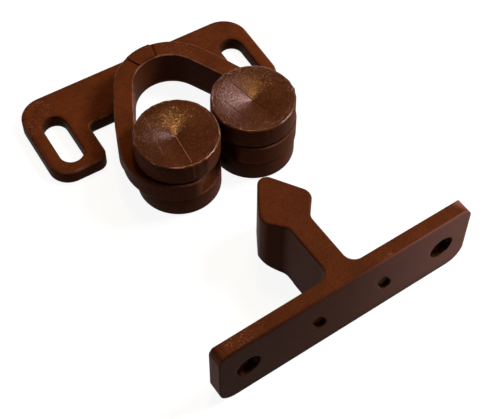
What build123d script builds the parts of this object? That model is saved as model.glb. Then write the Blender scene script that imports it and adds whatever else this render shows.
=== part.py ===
"""Double roller catch for a cupboard door: a moulded base plate with a sprung loop, two spool rollers
clipped into the loop's hooked ends, and the loose strike whose tongue goes in between the rollers.

Millimetres. The origin is on the base plate's underside, midway between its two slots.
X runs along the plate, +Y points away from the strike and +Z away from the mounting face.
"""
from math import cos, radians, sin
import os

from build123d import *

# Base plate with its two slotted ears
plate_length = 43.8
plate_depth = 17.7
plate_front = -7.25         # the ears' front edge, from the slots' centre line
plate_thickness = 2.6
strip_depth = 9.7           # the strip behind the loop, which joins the ears
ear_width = 9.6
ear_corner = 3.6
ear_inner_corner = 2.0
back_corner = 4.6
notch_corner = 1.0
slot_inset = 4.5            # the slots' middle lines, from the plate's ends
slot_width = 4.2
slot_length = 10.7
plate_edge = 0.35           # broken edges round the top

# Rollers
roller_radius = 7.0
roller_gap = 0.2            # between the two rims at rest
roller_reach = 16.0         # the axes, in front of the slots' centre line
roller_set = 3.1            # sideways set of the pair, towards +X
disc_height = 4.2
groove_height = 4.25
core_radius = 2.9
rim_edge = 0.25
dish_depth = 0.55
dish_land = 0.35            # flat rim round each dished end
floor_gap = 0.2             # the lower ends above the mounting face

# Sprung loop and its two arms, in one band
band_thickness = 3.3
band_top = 8.4
band_lift = 1.6             # the underside above the mounting face
arch_in = 2.25              # the arch's middle line, inside the arms' at the slots' front ends
arch_set = 1.9              # sideways set of the arch, towards +X
arch_back = 6.7             # the arch's outer face, behind the slots' centre line
arch_splay = 28.0           # degrees between the X axis and the arch's ends
arm_air = 0.8               # between the plate and the free arms
ear_wall = 0.95             # left of an ear between its slot and that air
band_edge = 0.25
pad_height = 0.25
pad_start, pad_sweep = 84.0, 30.0    # on the arch, in degrees from +X

# Hooks that clip round the rollers' cores
left_hook_radius = 7.2      # on the band's middle line
left_hook_in = 0.45         # the hook's centre from the roller's axis, towards the other roller
left_hook_back = 1.5        # and away from the strike
left_meet = 8.5             # degrees between the X axis and the hook's start
left_tip = 105.0            # degrees between the X axis and the hook's front end
right_hook_radius = 5.55
right_hook_in = 0.0
right_hook_back = 0.0
right_meet = 20.0
right_tip = 155.0
ramp_start = 1.15           # where the arms' underside starts to rise, in front of the ears
ramp_end = 3.6              # and where it is up, behind the rollers' axes
rear_lip = 68.0             # degrees from the X axis to the clips' rear ends
clip_radius = 6.1           # outside of the clip round a core
tip_round = 2.0
core_fit = 0.08             # running fit, on the radius
end_float = 0.2             # between a hook and the disc below it
disc_air = 0.4              # between a disc's rim and the arm beside it

# Strike
strike_length = 46.1
strike_height = 13.2
strike_thickness = 2.6
strike_low_corner = 3.0
strike_top_corner = 1.0
strike_hole_inset = 5.05    # from the plate's ends
strike_hole_radius = 2.15
neck_width = 4.0
neck_length = 10.2
head_width = 10.0           # before its corners are rounded
head_at = 13.6              # the head's widest place, from the plate
head_point = 7.8            # from there to the point, before it is rounded
point_round = 1.5
head_round = 2.0
nape_round = 2.0            # where the head narrows to the neck
root_round = 1.9
head_low_corner = 4.2       # rounding of the head's lower edges
dent_spacing = 12.1
dent_shift = 0.8            # the pair's middle from the tongue's
dent_length = 3.8
dent_width = 1.9
dent_depth = 0.7
dent_lean = 26.0            # degrees from upright
strike_edge = 0.25
strike_turn = 3.5           # degrees, as it stands in front of the catch
strike_x, strike_y = 4.1, -50.6     # the middle of its back face

# Places that follow from the sizes above
back_y = plate_front + plate_depth
strip_y = back_y - strip_depth
ear_x = plate_length / 2 - ear_width
slot_spacing = plate_length - 2 * slot_inset
waist = (slot_spacing - slot_width - band_thickness) / 2 - ear_wall - arm_air - arch_set
arch_radius = waist - arch_in
half_pitch = roller_radius + roller_gap / 2
lower_disc_top = floor_gap + disc_height
upper_disc_foot = lower_disc_top + groove_height
roller_top = upper_disc_foot + disc_height
hook_foot = lower_disc_top + end_float
band_height = band_top - band_lift
arch_centre = (arch_set, arch_back - band_thickness / 2 - arch_radius)
bore_radius = core_radius + core_fit
front_y = -2 * roller_reach
ramp_foot = plate_front - ramp_start
ramp_head = ramp_end - roller_reach


def seen(side, angle):
    """An angle of the right-hand half, in degrees from +X, as it is on the left (-1) or right (1)."""
    return angle if side > 0 else 180 - angle


def around(centre, radius, angle):
    """The point on a circle at an angle in degrees from +X."""
    return (centre[0] + radius * cos(radians(angle)), centre[1] + radius * sin(radians(angle)))


def onward(side, angle):
    """The way an arm runs where its outer face looks out at this angle."""
    return (side * sin(radians(seen(side, angle))), -side * cos(radians(seen(side, angle))))


def roller_axis(side):
    return (roller_set + side * half_pitch, -roller_reach)


def hook_circle(side):
    """Centre and radius of a hook's middle line, and the angle where the arm runs into it."""
    x, y = roller_axis(side)
    if side < 0:
        return (x + left_hook_in, y + left_hook_back), left_hook_radius, left_meet
    return (x - right_hook_in, y + right_hook_back), right_hook_radius, right_meet


def arm_path(side):
    """The band's middle line from the arch's crown to where the hook starts."""
    centre, radius, meet = hook_circle(side)
    start = around(arch_centre, arch_radius, seen(side, arch_splay))
    beside_slot = (arch_set + side * waist, -slot_length / 2)
    end = around(centre, radius, seen(side, meet))
    CenterArc(arch_centre, arch_radius, 90, side * (arch_splay - 90))
    Spline(start, beside_slot, end, tangents=[onward(side, arch_splay), onward(side, meet)])
    return end


def wedge(side, first, last, reach):
    """Corners of a fan about a roller's axis, between two angles of the right-hand half."""
    turns = [first + (last - first) * i / 4 for i in range(5)]
    return [roller_axis(side)] + [around(roller_axis(side), reach, seen(side, a)) for a in turns]


def spool_section():
    """Half section of a roller standing on the mounting face, its axis on the sketch's Y axis."""
    with BuildSketch(mode=Mode.PRIVATE) as section:
        with BuildLine():
            Polyline((0, floor_gap + dish_depth), (roller_radius - dish_land, floor_gap),
                     (roller_radius, floor_gap), (roller_radius, lower_disc_top),
                     (core_radius, lower_disc_top), (core_radius, upper_disc_foot),
                     (roller_radius, upper_disc_foot), (roller_radius, roller_top),
                     (roller_radius - dish_land, roller_top), (0, roller_top - dish_depth), close=True)
        make_face()
        chamfer(section.vertices().group_by(Axis.X)[-1], rim_edge)
    return section.sketch


# Base plate, loop, arms and hooks, moulded in one piece
with BuildPart() as catch_body:
    with BuildSketch(Plane.XY) as plate_plan:
        with Locations((0, plate_front + plate_depth / 2)):
            Rectangle(plate_length, plate_depth)
        with Locations((0, plate_front)):
            Rectangle(2 * ear_x, 2 * (plate_depth - strip_depth), mode=Mode.SUBTRACT)
        corners = plate_plan.vertices()
        fillet(corners.group_by(Axis.Y)[-1], back_corner)
        ear_front = plate_plan.vertices().group_by(Axis.Y)[0].sort_by(Axis.X)
        fillet([ear_front[0], ear_front[-1]], ear_corner)
        ear_inside = plate_plan.vertices().group_by(Axis.Y)[0].sort_by(lambda v: abs(v.X))[:2]
        fillet(ear_inside, ear_inner_corner)
        notch = plate_plan.vertices().filter_by(lambda v: abs(v.Y - strip_y) < 0.01 and abs(v.X) < ear_x + 0.01)
        fillet(notch, notch_corner)
        with GridLocations(slot_spacing, 0, 2, 1):
            SlotOverall(slot_length, slot_width, rotation=90, mode=Mode.SUBTRACT)
    extrude(amount=plate_thickness)
    rim = catch_body.faces().sort_by(Axis.Z)[-1].outer_wire().edges()
    chamfer(rim, plate_edge)

    # Inside the loop the plate is cut away, and the free arms stand clear of it
    with BuildSketch(Plane.XY):
        with BuildLine():
            left_end = arm_path(-1)
            right_end = arm_path(1)
            Polyline(left_end, (left_end[0], front_y), (right_end[0], front_y), right_end)
        make_face()
    extrude(amount=plate_thickness, mode=Mode.SUBTRACT)
    with BuildSketch(Plane.XY):
        for side in (-1, 1):
            with BuildLine():
                arm_path(side)
            trace(line_width=band_thickness + 2 * arm_air)
        with Locations((0, strip_y)):
            Rectangle(plate_length, roller_reach * 2, align=(Align.CENTER, Align.MAX), mode=Mode.INTERSECT)
    extrude(amount=plate_thickness, mode=Mode.SUBTRACT)

    # The band, full height as far as the hooks
    with BuildSketch(Plane.XY.offset(band_lift)):
        for side in (-1, 1):
            with BuildLine():
                arm_path(side)
            trace(line_width=band_thickness)
    extrude(amount=band_height)
    rim = catch_body.faces().filter_by(Axis.Z).sort_by(Axis.Z)[-1].edges()
    arms = rim.filter_by(GeomType.BSPLINE).sort_by(lambda e: abs((e @ 0.5).X - arch_set))
    crown = rim.filter_by(GeomType.CIRCLE).sort_by(lambda e: e.radius)
    fillet([arms[0], arms[1], crown[0]], band_edge)

    # Towards the hooks its underside ramps up, clear of the lower discs
    with BuildSketch(Plane.YZ):
        with BuildLine():
            Polyline((ramp_foot, band_lift), (ramp_head, hook_foot), (front_y, hook_foot),
                     (front_y, band_lift), close=True)
        make_face()
    extrude(amount=plate_length, both=True, mode=Mode.SUBTRACT)
    with BuildSketch(Plane.XY):
        with Locations(roller_axis(-1), roller_axis(1)):
            Circle(roller_radius + disc_air)
    extrude(amount=hook_foot, mode=Mode.SUBTRACT)

    # Hooks: the band goes on round the front of each roller, with a clip round the core inside it
    for side, tip in ((-1, left_tip), (1, right_tip)):
        centre, radius, meet = hook_circle(side)
        with BuildSketch(Plane.XY.offset(hook_foot)) as hook:
            with BuildLine():
                CenterArc(centre, radius, seen(side, meet), -side * (meet + tip + 8))
            trace(line_width=band_thickness)
            with Locations(roller_axis(side)):
                Circle(clip_radius)
            with BuildLine():
                Polyline(*wedge(side, 180 - rear_lip, 360 - tip, clip_radius + band_thickness), close=True)
            make_face(mode=Mode.SUBTRACT)
            nose = around(roller_axis(side), clip_radius + band_thickness, seen(side, -tip))
            fillet(hook.vertices().sort_by_distance((*nose, hook_foot))[0], tip_round)
        extrude(amount=band_top - hook_foot)
    with BuildSketch(Plane.XY):
        with Locations(roller_axis(-1), roller_axis(1)):
            Circle(bore_radius)
    extrude(amount=band_top, mode=Mode.SUBTRACT)
    rim = catch_body.faces().filter_by(Axis.Z).sort_by(Axis.Z)[-1].edges()
    arms = rim.filter_by(GeomType.BSPLINE).sort_by(lambda e: abs((e @ 0.5).X - arch_set))
    chamfer(arms[-2:], band_edge)

    # Low pad on the arch where the moulding was fed
    with BuildSketch(Plane.XY.offset(band_top)):
        with BuildLine():
            CenterArc(arch_centre, arch_radius, pad_start, pad_sweep)
        trace(line_width=band_thickness - 2 * band_edge)
    extrude(amount=pad_height)
catch_body.part.label = "catch_body"


# Rollers: a core between two discs, with a shallow cone sunk into each end
with BuildPart() as left_roller:
    with BuildSketch(Plane.XZ.offset(roller_reach)) as left_section:
        with Locations((roller_axis(-1)[0], 0)):
            add(spool_section())
    revolve(axis=Axis((*roller_axis(-1), 0), (0, 0, 1)))
left_roller.part.label = "left_roller"

with BuildPart() as right_roller:
    with BuildSketch(Plane.XZ.offset(roller_reach)) as right_section:
        with Locations((roller_axis(1)[0], 0)):
            add(spool_section())
    revolve(axis=Axis((*roller_axis(1), 0), (0, 0, 1)))
right_roller.part.label = "right_roller"


# Strike: a flat plate on edge with two screw holes, two dents and a tongue with a pointed head
strike_frame = Plane((strike_x, strike_y, 0), x_dir=(cos(radians(strike_turn)), sin(radians(strike_turn)), 0))
face_frame = Plane(strike_frame.from_local_coords((0, -strike_thickness, strike_height / 2)),
                   x_dir=strike_frame.x_dir, z_dir=-strike_frame.y_dir)
neck_frame = Plane(strike_frame.from_local_coords((0, neck_length - neck_width / 2, 0)),
                   x_dir=-strike_frame.x_dir, z_dir=strike_frame.y_dir)
with BuildPart() as strike:
    with BuildSketch(strike_frame) as plan:
        Rectangle(strike_length, strike_thickness, align=(Align.CENTER, Align.MAX))
        with BuildLine():
            Polyline((-neck_width / 2, -strike_thickness / 2), (-neck_width / 2, neck_length),
                     (-head_width / 2, head_at), (0, head_at + head_point), (head_width / 2, head_at),
                     (neck_width / 2, neck_length), (neck_width / 2, -strike_thickness / 2), close=True)
        make_face()
        along = plan.vertices().sort_by(Axis(strike_frame.origin, strike_frame.y_dir))
        fillet(along[-1], point_round)
        head = [v for v in plan.vertices() if abs(strike_frame.to_local_coords(v).Y - head_at) < 0.01]
        fillet(head, head_round)
        nape = [v for v in plan.vertices() if abs(strike_frame.to_local_coords(v).Y - neck_length) < 0.01]
        fillet(nape, nape_round)
        root = [v for v in plan.vertices() if abs(strike_frame.to_local_coords(v).Y) < 0.01
                and abs(strike_frame.to_local_coords(v).X) < neck_width]
        fillet(root, root_round)
    extrude(amount=strike_height)
    with BuildSketch(neck_frame):
        with BuildLine():
            foot = Line((head_width / 2 - head_low_corner, 0), (head_width, 0))
            edge = Line(foot @ 1, (head_width, head_low_corner))
            flank = Line(edge @ 1, (head_width / 2, head_low_corner))
            RadiusArc(flank @ 1, foot @ 0, head_low_corner)
        make_face()
        mirror(about=Plane.YZ)
    extrude(amount=head_at + head_point, mode=Mode.SUBTRACT)
    top_face = strike.faces().filter_by(Axis.Z).sort_by(Axis.Z)[-1]
    chamfer(top_face.outer_wire().edges(), strike_edge)
    with BuildSketch(face_frame):
        with Locations((0, strike_height / 2)):
            RectangleRounded(strike_length, 2 * strike_height, strike_low_corner)
        with Locations((0, -strike_height / 2)):
            RectangleRounded(strike_length, 2 * strike_height, strike_top_corner, mode=Mode.INTERSECT)
    extrude(amount=-(strike_thickness + head_at + head_point), mode=Mode.INTERSECT)
    with BuildSketch(face_frame):
        with GridLocations(strike_length - 2 * strike_hole_inset, 1, 2, 1):
            Circle(strike_hole_radius)
    extrude(amount=-strike_thickness, mode=Mode.SUBTRACT)
    with BuildSketch(face_frame):
        with Locations((dent_shift - dent_spacing / 2, 0), (dent_shift + dent_spacing / 2, 0)):
            SlotOverall(dent_length, dent_width, rotation=90 + dent_lean)
    extrude(amount=-dent_depth, mode=Mode.SUBTRACT)
strike.part.label = "strike"

os.makedirs("parts", exist_ok=True)
export_step(catch_body.part, "parts/catch_body.step")
export_step(left_roller.part, "parts/left_roller.step")
export_step(right_roller.part, "parts/right_roller.step")
export_step(strike.part, "parts/strike.step")
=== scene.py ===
"""The look of the double roller catch: brown moulded plastic on a white floor under soft studio light.

Lengths are written in millimetres and turned into metres by MM. Angles are in degrees.
"""
from math import cos, pi, radians, sin
from random import Random

import bmesh
import bpy
from mathutils import Matrix, Vector


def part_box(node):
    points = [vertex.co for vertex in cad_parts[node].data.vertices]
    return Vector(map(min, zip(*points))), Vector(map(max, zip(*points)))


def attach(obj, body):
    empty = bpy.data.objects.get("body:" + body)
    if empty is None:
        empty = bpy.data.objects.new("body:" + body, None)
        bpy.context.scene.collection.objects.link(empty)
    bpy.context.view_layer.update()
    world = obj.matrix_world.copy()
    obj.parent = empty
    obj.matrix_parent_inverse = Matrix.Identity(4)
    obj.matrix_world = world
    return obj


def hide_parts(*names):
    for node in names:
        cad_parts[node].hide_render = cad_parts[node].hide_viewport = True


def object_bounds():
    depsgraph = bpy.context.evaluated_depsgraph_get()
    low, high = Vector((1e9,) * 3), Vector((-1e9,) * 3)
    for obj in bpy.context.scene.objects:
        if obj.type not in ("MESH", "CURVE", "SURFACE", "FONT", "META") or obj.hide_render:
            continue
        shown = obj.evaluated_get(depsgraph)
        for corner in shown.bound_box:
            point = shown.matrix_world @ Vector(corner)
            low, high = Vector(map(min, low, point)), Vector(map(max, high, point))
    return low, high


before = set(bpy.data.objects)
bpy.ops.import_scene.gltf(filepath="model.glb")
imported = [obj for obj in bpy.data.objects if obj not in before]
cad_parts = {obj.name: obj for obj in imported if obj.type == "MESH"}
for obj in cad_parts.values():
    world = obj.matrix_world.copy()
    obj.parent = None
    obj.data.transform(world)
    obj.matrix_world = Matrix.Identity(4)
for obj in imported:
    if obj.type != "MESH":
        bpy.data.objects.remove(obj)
cad_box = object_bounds()
MM = 0.001
UP = Vector((0, 0, 1))


# Colours

def colour(red, green, blue):
    """Linear colour from the 0..255 values that a screen shows."""
    def linear(v):
        v /= 255
        return v / 12.92 if v <= 0.04045 else ((v + 0.055) / 1.055) ** 2.4
    return (linear(red), linear(green), linear(blue), 1.0)


def scaled(shade, by):
    return (shade[0] * by, shade[1] * by, shade[2] * by, 1.0)


WHITE = (1.0, 1.0, 1.0, 1.0)
SHADE = colour(72, 31, 7)       # the plastic's darker clouds
BODY = colour(88, 38, 9)        # the plastic
PALE = colour(150, 96, 72)      # speck patches, grain and fine lines, and painted glints on the arch
HIGHLIGHT_AND_FLASH = colour(160, 112, 100)     # painted highlights on edges, on the strike's faces and on rims, and the rollers' flash on their rims
PAINTED_GLINT = colour(150, 98, 40)      # painted gold glints in the weave on the rollers' ends
PAINTED_GROOVE_SHADE = colour(46, 19, 8)       # painted shade: the right roller's line, darkened as a shaded groove


# Materials

class Tree:
    """Short calls for the nodes of one material."""

    def __init__(self, name):
        self.material = bpy.data.materials.new(name)
        self.material.use_nodes = True
        self.nodes = self.material.node_tree.nodes
        self.links = self.material.node_tree.links
        self.nodes.clear()

    def add(self, kind, **settings):
        node = self.nodes.new(kind)
        for key, value in settings.items():
            setattr(node, key, value)
        return node

    def put(self, source, socket):
        """Sets a socket to a number or colour, or links it to another socket."""
        if isinstance(source, bpy.types.NodeSocket):
            self.links.new(source, socket)
        else:
            socket.default_value = source

    def math(self, operation, a, b=0.0):
        node = self.add("ShaderNodeMath", operation=operation)
        self.put(a, node.inputs[0])
        self.put(b, node.inputs[1])
        return node.outputs[0]

    def times(self, a, b):
        return self.math("MULTIPLY", a, b)

    def vector(self, operation, a, b=(0.0, 0.0, 0.0)):
        node = self.add("ShaderNodeVectorMath", operation=operation)
        self.put(a, node.inputs[0])
        self.put(b, node.inputs[1])
        return node.outputs["Value" if operation in ("LENGTH", "DOT_PRODUCT", "DISTANCE") else "Vector"]

    def split(self, source):
        """The X, Y and Z of a vector."""
        node = self.add("ShaderNodeSeparateXYZ")
        self.put(source, node.inputs[0])
        return node.outputs

    def ramp(self, value, low, high, to_low=0.0, to_high=1.0):
        """Runs smoothly from to_low to to_high while the value runs from low to high."""
        node = self.add("ShaderNodeMapRange", interpolation_type="SMOOTHSTEP")
        for source, socket in zip((value, low, high, to_low, to_high), node.inputs):
            self.put(source, socket)
        return node.outputs[0]

    def mix(self, factor, a, b):
        node = self.add("ShaderNodeMix", data_type="RGBA")
        self.put(factor, node.inputs["Factor"])
        self.put(a, node.inputs[6])
        self.put(b, node.inputs[7])
        return node.outputs[2]

    def noise(self, place, size, detail=2.0, rough=0.5):
        """Noise whose blotches are about this many millimetres wide."""
        node = self.add("ShaderNodeTexNoise")
        self.put(place, node.inputs["Vector"])
        node.inputs["Scale"].default_value = 1 / (size * MM)
        node.inputs["Detail"].default_value = detail
        node.inputs["Roughness"].default_value = rough
        return node.outputs["Fac"]

    def blot(self, place, centre, reach):
        """1 round a point, and 0 from this many millimetres away."""
        away = self.vector("DISTANCE", place, tuple(v * MM for v in centre))
        return self.ramp(away, reach * MM, 0.4 * reach * MM)

    def hollow(self, reach):
        """0.1 deep in gaps and holes and 1 in the open, from how much is hidden within this many millimetres."""
        node = self.add("ShaderNodeAmbientOcclusion", samples=8)
        node.inputs["Distance"].default_value = reach * MM
        return self.ramp(node.outputs["AO"], 0.15, 0.8, 0.1, 1.0)

    def softened(self, radius):
        """The normal with the edges rounded off by this radius."""
        node = self.add("ShaderNodeBevel", samples=6)
        self.put(radius, node.inputs["Radius"])
        return node.outputs["Normal"]

    def bump(self, height, depth, onto=None):
        """The normal with a bump of this many millimetres where the height runs from 0 to 1."""
        node = self.add("ShaderNodeBump")
        node.inputs["Strength"].default_value = 1.0
        node.inputs["Distance"].default_value = depth * MM
        self.put(height, node.inputs["Height"])
        if onto is not None:
            self.put(onto, node.inputs["Normal"])
        return node.outputs["Normal"]

    def satin(self, body, normal, roughness, gloss, tint=WHITE):
        """Finishes the material: a body colour under a weak gloss."""
        shader = self.add("ShaderNodeBsdfPrincipled")
        self.put(body, shader.inputs["Base Color"])
        self.put(roughness, shader.inputs["Roughness"])
        self.put(normal, shader.inputs["Normal"])
        shader.inputs["IOR"].default_value = 1.49
        shader.inputs["Specular IOR Level"].default_value = gloss
        shader.inputs["Specular Tint"].default_value = tint
        out = self.add("ShaderNodeOutputMaterial")
        self.put(shader.outputs[0], out.inputs["Surface"])
        return self.material


BASE_TOP = (2.7, 2.9)       # heights between which the softness of the plate's edges turns into the loop's
LOOP_TOP = 8.5              # just over the loop's top face
BORE_REACH = 2.5            # from the middle of a strike's hole to the ends of its wall
EDGE_SOFTNESS = 0.45


def painted_edge_highlights(tree, moved, height, along, up, strength, low_strength):
    """How much painted highlight the edges between the top and the sides get, broken into patches, less so at the arms'
    ends.
    """
    edge = tree.times(tree.ramp(up, 0.25, 0.55), tree.ramp(up, 0.985, 0.9))
    broken = tree.ramp(tree.noise(moved, 1.6, 3.0), 0.3, 0.65, 0.2 * strength, strength)
    broken = tree.times(broken, tree.ramp(along, -13 * MM, -7 * MM, 0.3, 1.0))
    broken = tree.times(broken, tree.ramp(height, 2.7 * MM, 3.4 * MM, low_strength, 1.0))
    return tree.times(edge, broken)


def strike_painted_light(tree, body, normal, across):
    """Painted light on the strike: painted shade on the left part of its front, a painted sheen on the right part of
    its front, and a painted highlight on its left end.
    """
    # Painted sheen towards the front's right end, painted shade towards its left end, and a painted highlight on the
    # left end face.
    front = tree.ramp(normal[1], -0.7, -0.95)
    painted_sheen = tree.ramp(across, -2 * MM, 28 * MM, 0.03, 0.66)
    body = tree.mix(tree.times(front, painted_sheen), body, HIGHLIGHT_AND_FLASH)
    painted_shade = tree.ramp(across, 14 * MM, -18 * MM, 0.12, 0.85)
    body = tree.mix(tree.times(front, painted_shade), body, scaled(SHADE, 0.4))
    return tree.mix(tree.ramp(normal[0], -0.7, -0.95, 0.0, 0.42), body, HIGHLIGHT_AND_FLASH)


def plastic(name, seed=0.0, tone=1.0, edges=0.6, low_edges=1.0, low_softness=EDGE_SOFTNESS,
            specks_and_glints=(), painted_highlights=(), shaded_bores=(), painted_lines=(), is_strike=False):
    """Satin brown plastic: cloudy colour, fine grain, painted highlights on the edges, speck patches, and the painted
    light and shade of one piece.

    specks_and_glints are (centre, reach), speck patches or painted glints; painted_highlights are (centre, reach,
    strength);
    shaded_bores are centres of holes, which get painted shade with lighter painted lit spots; and painted_lines are
    short painted shade or highlight lines on the loop's top: ((x, y), the way that they face, half their length,
    colour).
    """
    tree = Tree(name)
    place = tree.add("ShaderNodeTexCoord").outputs["Object"]
    moved = tree.vector("ADD", place, (seed, seed, 0.0))
    x, y, z = tree.split(place)
    normal = tree.split(tree.add("ShaderNodeNewGeometry").outputs["Normal"])

    clouds = tree.ramp(tree.noise(moved, 7.0, 3.0, 0.6), 0.3, 0.7)
    body = tree.mix(clouds, scaled(SHADE, tone), scaled(BODY, tone))
    mottle = tree.ramp(tree.noise(moved, 1.3, 3.0, 0.6), 0.4, 0.66, 0.0, 0.3)
    body = tree.mix(mottle, body, scaled(SHADE, 0.6 * tone))
    grain = tree.noise(moved, 0.28, 3.0, 0.6)
    body = tree.mix(tree.ramp(grain, 0.3, 0.75, 0.0, 0.11), body, PALE)
    # Painted highlight along the edges between the top and the sides.
    body = tree.mix(painted_edge_highlights(tree, moved, z, y, normal[2], edges, low_edges), body, HIGHLIGHT_AND_FLASH)

    # Speck patches; the one on the arch is painted glints along its inner edge.
    dust_and_glints = tree.ramp(tree.noise(moved, 0.35, 4.0, 0.7), 0.5, 0.75)
    for centre, reach in specks_and_glints:
        body = tree.mix(tree.times(tree.times(dust_and_glints, tree.blot(place, centre, reach)), 0.55), body, PALE)
    if is_strike:
        body = strike_painted_light(tree, body, normal, x)
    # Painted highlights, such as the pinkish one at the strike's top right end.
    for centre, reach, strength in painted_highlights:
        body = tree.mix(tree.times(tree.blot(place, centre, reach), strength), body, HIGHLIGHT_AND_FLASH)
    # Painted shade in the strike's holes, with lighter patches as painted lit spots.
    for centre in shaded_bores:
        away = tree.vector("DISTANCE", place, tuple(v * MM for v in centre))
        painted_hole_shade = tree.ramp(away, (BORE_REACH + 0.04) * MM, (BORE_REACH - 0.04) * MM)
        patches = tree.ramp(tree.noise(moved, 0.7, 2.0), 0.45, 0.65, 0.93, 0.35)
        body = tree.mix(tree.times(painted_hole_shade, patches), body, scaled(SHADE, 0.15))
    # Painted lines on the loop's top: painted shade or a painted highlight along a pad's border.
    for (mark_x, mark_y), facing, half, shade in painted_lines:
        way = (cos(radians(facing)), sin(radians(facing)), 0.0)
        off = tree.vector("SUBTRACT", place, (mark_x * MM, mark_y * MM, LOOP_TOP * MM))
        beside = tree.math("ABSOLUTE", tree.vector("DOT_PRODUCT", off, way))
        line = tree.times(tree.ramp(beside, 0.3 * MM, 0.1 * MM),
                          tree.ramp(tree.vector("LENGTH", off), half * MM, (half - 0.3) * MM))
        body = tree.mix(line, body, shade)
    # Painted shade: darker in gaps, holes and corners, by how much is hidden nearby.
    body = tree.mix(tree.hollow(4.0), scaled(SHADE, 0.12), body)

    low, high = (v * MM for v in BASE_TOP)
    softness = tree.ramp(z, low, high, low_softness * MM, EDGE_SOFTNESS * MM)
    relief = tree.bump(grain, 0.012, tree.softened(softness))
    return tree.satin(body, relief, tree.ramp(grain, 0.3, 0.7, 0.48, 0.62), 0.02)


def roller_end(name, seed, ragged):
    """The turned end of a roller: woven and ringed grain that glints, gold painted glints in the weave's colour, and a
    ragged light-coloured rim that is partly flash and partly painted rim highlight.
    """
    tree = Tree(name)
    place = tree.add("ShaderNodeTexCoord").outputs["Object"]
    radius = tree.vector("LENGTH", tree.vector("MULTIPLY", place, (1.0, 1.0, 0.0)))
    moved = tree.vector("ADD", place, (seed, 0.0, 0.0))
    clouds = tree.noise(moved, 4.0, 3.0, 0.6)
    body = tree.mix(tree.ramp(clouds, 0.3, 0.7), scaled(SHADE, 0.63), scaled(BODY, 0.63))
    warp = tree.noise(tree.vector("MULTIPLY", moved, (1.0, 0.3, 1.0)), 0.16, 2.0)
    weft = tree.noise(tree.vector("MULTIPLY", moved, (0.3, 1.0, 1.0)), 0.16, 2.0)
    weave = tree.times(warp, weft)
    # Painted glints: gold in the colour where the weave stands high.
    body = tree.mix(tree.ramp(weave, 0.24, 0.4, 0.0, 0.14), body, PAINTED_GLINT)
    # Ragged light-coloured rim: partly flash, partly painted rim highlight.
    rim = tree.times(tree.ramp(radius, 6.72 * MM, 6.9 * MM), tree.ramp(tree.noise(moved, 1.8, 3.0), 0.47, 0.6))
    body = tree.mix(tree.times(rim, ragged), body, HIGHLIGHT_AND_FLASH)
    rings = tree.math("SINE", tree.times(radius, 2 * pi / (0.24 * MM)))
    relief = tree.bump(tree.math("ADD", tree.times(rings, 0.06), tree.times(weave, 3.4)), 0.012)
    return tree.satin(body, relief, tree.ramp(clouds, 0.3, 0.7, 0.13, 0.19), 0.5, (1.0, 0.68, 0.56, 1.0))


def hairline(name, shade):
    """A fine raised line, paler or darker than the plastic in patches."""
    tree = Tree(name)
    patches = tree.noise(tree.add("ShaderNodeTexCoord").outputs["Object"], 1.2, 2.0)
    body = tree.mix(tree.ramp(patches, 0.25, 0.5), BODY, shade)
    return tree.satin(body, tree.bump(patches, 0.004), tree.ramp(patches, 0.3, 0.7, 0.5, 0.6), 0.02)


def backdrop(name, shade, lift):
    """White to the camera and in reflections, with a soft shadow under the object."""
    tree = Tree(name)
    rays = tree.add("ShaderNodeLightPath")
    seen = tree.math("MAXIMUM", rays.outputs["Is Camera Ray"],
                     tree.math("MAXIMUM", rays.outputs["Is Glossy Ray"], rays.outputs["Is Transmission Ray"]))
    cloth = tree.add("ShaderNodeBsdfDiffuse")
    cloth.inputs["Color"].default_value = (shade, shade, shade, 1)
    glow = tree.add("ShaderNodeEmission")
    glow.inputs["Color"].default_value = WHITE
    tree.put(tree.times(seen, lift), glow.inputs["Strength"])
    both = tree.add("ShaderNodeAddShader")
    tree.put(cloth.outputs[0], both.inputs[0])
    tree.put(glow.outputs[0], both.inputs[1])
    out = tree.add("ShaderNodeOutputMaterial")
    tree.put(both.outputs[0], out.inputs["Surface"])
    return tree.material


# Catch body: its own mesh, with speck patches on the left ear, painted glints on the arch, and painted lines at the
# pad's two borders: shade at the right, a highlight at the left

catch_body = bpy.data.objects["catch_body"]
catch_body.data.materials.clear()
catch_body.data.materials.append(plastic(
    "brown_catch_body", low_softness=1.1, low_edges=0.45,
    specks_and_glints=[((-17.8, 8.6, 2.6), 3.6), ((-21.0, 5.0, 2.6), 2.8), ((6.6, 2.9, 8.4), 4.0)],
    # First line: painted shade at the pad's right border; second: painted highlight at its left border.
    painted_lines=[((3.1, 4.9), -12, 1.5, scaled(SHADE, 0.5)), ((-1.25, 4.38), 24, 1.5, scaled(BODY, 1.25))]))


# Strike: a copy of its own mesh with rounder top end corners

STRIKE_TURN = 3.5                       # how far it stands turned
STRIKE_MIDDLE = (4.1, -50.6, 0.0)
STRIKE_LENGTH, STRIKE_HEIGHT = 46.1, 13.2
SOLID_CORNER, CORNER_GROWTH = 1.0, 1.9  # the solid's corner rounding, and how many times larger it gets
BORES = ((-13.787, -52.996, 6.6), (22.146, -50.8, 6.6))


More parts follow.
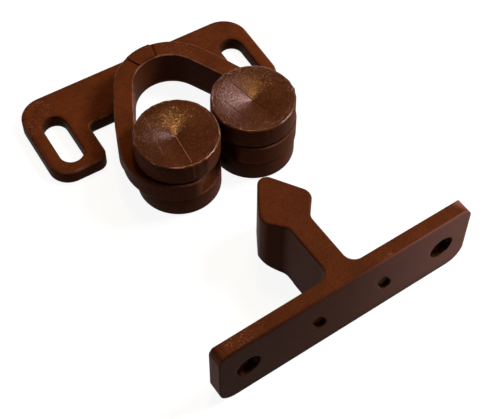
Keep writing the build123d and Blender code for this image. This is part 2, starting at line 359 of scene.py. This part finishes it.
def rounder_strike():
    """The strike's mesh with the rounding of its two top end corners made larger."""
    mesh = bpy.data.objects["strike"].data.copy()
    mesh.name = "strike_look"
    way = Vector((cos(radians(STRIKE_TURN)), sin(radians(STRIKE_TURN)), 0))
    near = SOLID_CORNER * 1.02 * MM
    for vertex in mesh.vertices:
        along = (vertex.co - Vector(STRIKE_MIDDLE) * MM).dot(way)
        inset = STRIKE_LENGTH / 2 * MM - abs(along)
        drop = STRIKE_HEIGHT * MM - vertex.co.z
        if inset < near and drop < near:
            side = 1 if along > 0 else -1
            vertex.co -= way * side * inset * (CORNER_GROWTH - 1)
            vertex.co.z -= drop * (CORNER_GROWTH - 1)
    mesh.update()
    piece = bpy.data.objects.new("strike_look", mesh)
    bpy.context.scene.collection.objects.link(piece)
    piece.data.materials.clear()
    piece.data.materials.append(plastic(
        "brown_strike", 0.03, tone=0.86, edges=0.3, is_strike=True, shaded_bores=BORES,
        # The patch at the top's right end is a painted highlight.
        specks_and_glints=[((-14.0, -51.9, 13.2), 5.0), ((11.6, -52.5, 13.2), 1.1)], painted_highlights=[((26.9, -49.1, 12.9), 2.6, 0.3)]))
    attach(piece, "striker")
    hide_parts("strike")


rounder_strike()


# Rollers: finer meshes than the solids', in the same places

DISC, CORE, RADIUS = 4.2, 2.9, 7.0      # thickness of a disc, radius of the core, radius of the discs
DISH, SWEEP, LAND = 0.65, 1.4, 0.35     # depth of the end's cone, its curve (1 is straight), the flat round it
SOFT = 0.28                             # rounding of the discs' edges
STEPS = 192                             # faces round a roller
CONE_RINGS, LOWER_CONE_RINGS = 20, 6
ROUNDING = (0, 22, 45, 67, 90)          # angles of the points on a rounded edge
RAGGED, DEEPEST, NIB = 0.09, -0.4, 1.6  # the rim's unevenness, its deepest dip and a nib, both in such steps
RIDGE, RIDGE_FOOT = 0.045, -0.03        # heights of a hairline's crest and feet over the surface
RIDGE_STEPS = 40
CONE = RADIUS - LAND


def edge_round(z, towards):
    """A disc's rounded edge at an end face's height, from the face to the side, for its upper (1) or lower (-1) end."""
    return [(RADIUS - SOFT + SOFT * sin(radians(t)), z - towards * (SOFT - SOFT * cos(radians(t)))) for t in ROUNDING]


def cone_height(radius):
    """How far the upper cone lies below the roller's top."""
    return DISH * (1 - min(1.0, radius / CONE)) ** SWEEP


def roller_profile(foot, top):
    """Radius and height of each ring, from the upper cone's tip to the lower cone's tip."""
    upper = [(CONE * k / CONE_RINGS, top - DISH * (1 - k / CONE_RINGS) ** SWEEP) for k in range(CONE_RINGS)]
    upper += [(CONE, top - 0.01)] + edge_round(top, 1)
    groove = edge_round(top - DISC, -1)[::-1] + [(CORE, top - DISC), (CORE, foot + DISC)] + edge_round(foot + DISC, 1)
    lower = edge_round(foot, -1)[::-1]
    lower += [(CONE * k / LOWER_CONE_RINGS, foot + DISH * (1 - k / LOWER_CONE_RINGS))
              for k in range(LOWER_CONE_RINGS, -1, -1)]
    return upper + groove + lower


def ragged_rim(seed, nibs):
    """How far the upper rim stands out at each step, with a nib at each of these angles."""
    rng = Random(seed)
    wave = [rng.gauss(0, 1) for _ in range(STEPS)]
    for _ in range(3):
        wave = [(wave[i - 1] + 2 * wave[i] + wave[(i + 1) % STEPS]) / 4 for i in range(STEPS)]
    for nib in nibs:
        wave[round(nib / 360 * STEPS) % STEPS] += NIB
    return [RAGGED * max(DEEPEST, v) for v in wave]


def lathe(profile, middle, rim):
    """Points, faces and each face's material (0 on the ends, 1 elsewhere) of the turned roller."""
    upper_rim = range(CONE_RINGS + 1, CONE_RINGS + 1 + len(ROUNDING))
    upper_end, lower_end = CONE_RINGS + 3, len(profile) - LOWER_CONE_RINGS - 2
    points, starts, faces, kinds = [], [], [], []
    for n, (radius, z) in enumerate(profile):
        starts.append(len(points))
        for i in range(STEPS if radius else 1):
            turn = 2 * pi * i / STEPS
            out = radius + (rim[i] if n in upper_rim else 0)
            points.append((out * cos(turn) * MM, out * sin(turn) * MM, (z - middle) * MM))
    for n in range(len(profile) - 1):
        a, b = starts[n], starts[n + 1]
        for i in range(STEPS):
            j = (i + 1) % STEPS
            if profile[n][0] == 0:
                faces.append((a, b + i, b + j))
            elif profile[n + 1][0] == 0:
                faces.append((a + i, b, a + j))
            else:
                faces.append((a + i, b + i, b + j, a + j))
            kinds.append(0 if n < upper_end or n >= lower_end else 1)
    return points, faces, kinds


def ridge_route(top, way, aside, offset, near, far):
    """Places along a hairline, their heights and the way out of the surface; it goes on down the disc's side."""
    route = []
    for k in range(RIDGE_STEPS + 1):
        spot = way * (near + (far - near) * k / RIDGE_STEPS) + aside * offset
        route.append((spot, top - cone_height(spot.length), UP))
    if far > RADIUS - SOFT:
        edge = way * (RADIUS ** 2 - offset ** 2) ** 0.5 + aside * offset
        out = edge.normalized()
        side = [(edge, z, Vector((out.x, out.y, 0))) for z in (top - 0.3, top - 1.5, top - 2.8, top - DISC + 0.3)]
        route = route[:-2] + side
    return route


def ridge(points, faces, kinds, middle, route, aside, width):
    """Adds a low three-sided bar along a hairline's route, in material 2."""
    base = len(points)
    for spot, z, lift in route:
        for across, rise in ((-width, RIDGE_FOOT), (0.0, RIDGE), (width, RIDGE_FOOT)):
            spread = spot + aside * across
            points.append(((spread.x + lift.x * rise) * MM, (spread.y + lift.y * rise) * MM,
                           (z + lift.z * rise - middle) * MM))
    for a in range(base, base + 3 * (len(route) - 1), 3):
        faces += [(a, a + 3, a + 4, a + 1), (a + 1, a + 4, a + 5, a + 2), (a + 2, a + 5, a + 3, a)]
        kinds += [2, 2, 2]
    last = base + 3 * (len(route) - 1)
    faces += [(base, base + 1, base + 2), (last + 2, last + 1, last)]
    kinds += [2, 2]


def roller(node, body, seed, lines, line_shade, ragged, nibs):
    """A roller with rounded edges, cones, a ragged upper rim and hairlines.

    lines are (the way that a line runs, its offset to the side, where it starts and ends, half its width).
    """
    low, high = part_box(node)
    foot, top = low.z / MM, high.z / MM
    middle = (foot + top) / 2
    points, faces, kinds = lathe(roller_profile(foot, top), middle, ragged_rim(seed, nibs))
    for turn, offset, near, far, width in lines:
        way = Vector((cos(radians(turn)), sin(radians(turn))))
        aside = Vector((-way.y, way.x))
        ridge(points, faces, kinds, middle, ridge_route(top, way, aside, offset, near, far), aside, width)
    mesh = bpy.data.meshes.new(node + "_look")
    mesh.from_pydata(points, [], faces)
    for kind, polygon in zip(kinds, mesh.polygons):
        polygon.material_index = kind
        polygon.use_smooth = True
    mesh.update()
    work = bmesh.new()
    work.from_mesh(mesh)
    bmesh.ops.recalc_face_normals(work, faces=work.faces)
    work.to_mesh(mesh)
    work.free()
    piece = bpy.data.objects.new(node + "_look", mesh)
    piece.location = ((low.x + high.x) / 2, (low.y + high.y) / 2, middle * MM)
    bpy.context.scene.collection.objects.link(piece)
    piece.data.materials.append(roller_end("turned_" + node, seed * 0.01, ragged))
    piece.data.materials.append(plastic("brown_" + node, seed * 0.01, edges=0.25, tone=0.85))
    piece.data.materials.append(hairline("line_" + node, line_shade))
    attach(piece, body)
    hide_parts(node)


roller("left_roller", "left_spool", 1, [(-95.0, -0.2, -4.7, 6.9, 0.085), (-97.0, -3.4, -5.4, 3.2, 0.04)],
       PALE, ragged=0.9, nibs=(-77,))
# The right roller's hairline colour is painted shade, as of a shaded groove.
roller("right_roller", "right_spool", 2, [(-76.0, 0.0, -6.6, 5.2, 0.08), (-76.0, -3.6, -3.0, 4.0, 0.03)],
       PAINTED_GROOVE_SHADE, ragged=0.35, nibs=(-48, -96, -123))


# Floor, with a low wall all round far behind the object, in metres

FLOOR_REACH, WALL, SIDES = 1.5, 0.5, 48
ring = [(FLOOR_REACH * cos(2 * pi * i / SIDES), FLOOR_REACH * sin(2 * pi * i / SIDES)) for i in range(SIDES)]
floor_mesh = bpy.data.meshes.new("floor")
floor_mesh.from_pydata([(x, y, 0) for x, y in ring] + [(x, y, WALL) for x, y in ring], [],
                       [tuple(range(SIDES))] + [(i, (i + 1) % SIDES, SIDES + (i + 1) % SIDES, SIDES + i)
                                                for i in range(SIDES)])
floor = bpy.data.objects.new("floor", floor_mesh)
floor.location = (0, 0, cad_box[0].z)
floor.data.materials.append(backdrop("white_floor", 0.17, 0.91))
bpy.context.scene.collection.objects.link(floor)


# Light: a dim even world and soft boxes aimed at the object, their distances and sizes in metres

world = bpy.data.worlds.new("studio")
bpy.context.scene.world = world
world.use_nodes = True
world.node_tree.nodes["Background"].inputs["Color"].default_value = WHITE
world.node_tree.nodes["Background"].inputs["Strength"].default_value = 0.12

AIM = Vector((0.003, -0.02, 0.005))


def soft_box(name, azimuth, elevation, distance, size, power, shade=(1, 1, 1)):
    light = bpy.data.lights.new(name, "AREA")
    light.color = shade
    light.shape = "RECTANGLE"
    light.size, light.size_y = size
    light.energy = power
    lamp = bpy.data.objects.new(name, light)
    turn, lift = radians(azimuth), radians(elevation)
    aside = Vector((cos(lift) * cos(turn), cos(lift) * sin(turn), sin(lift)))
    lamp.location = AIM + aside * distance
    lamp.rotation_mode = "QUATERNION"
    lamp.rotation_quaternion = aside.to_track_quat("Z", "Y")
    lamp.visible_camera = False
    bpy.context.scene.collection.objects.link(lamp)


soft_box("key", -14, 50, 0.35, (0.1, 0.1), 0.98)
soft_box("sheen_right", 40, 47, 0.5, (0.06, 0.06), 0.36, (1.0, 0.88, 0.98))
soft_box("sheen_back", 58, 72, 0.5, (0.06, 0.06), 0.7, (1.0, 0.68, 0.24))
soft_box("side", -40, 10, 0.1, (0.04, 0.03), 0.012)


# Camera, at the photograph's place: the matrix's columns are its right, up and back directions

lens = bpy.data.cameras.new("camera")
lens.sensor_width = 36
lens.lens = 86.60
lens.clip_start, lens.clip_end = 0.01, 10
camera = bpy.data.objects.new("camera", lens)
directions = Matrix(((0.85599, 0.42184, -0.29889), (-0.51697, 0.70444, -0.48633), (0.00540, 0.57080, 0.82107)))
camera.matrix_world = Matrix.Translation((-0.05588, -0.12288, 0.16194)) @ directions.to_4x4()
bpy.context.scene.collection.objects.link(camera)
bpy.context.scene.camera = camera
bpy.context.scene.view_settings.view_transform = "Standard"
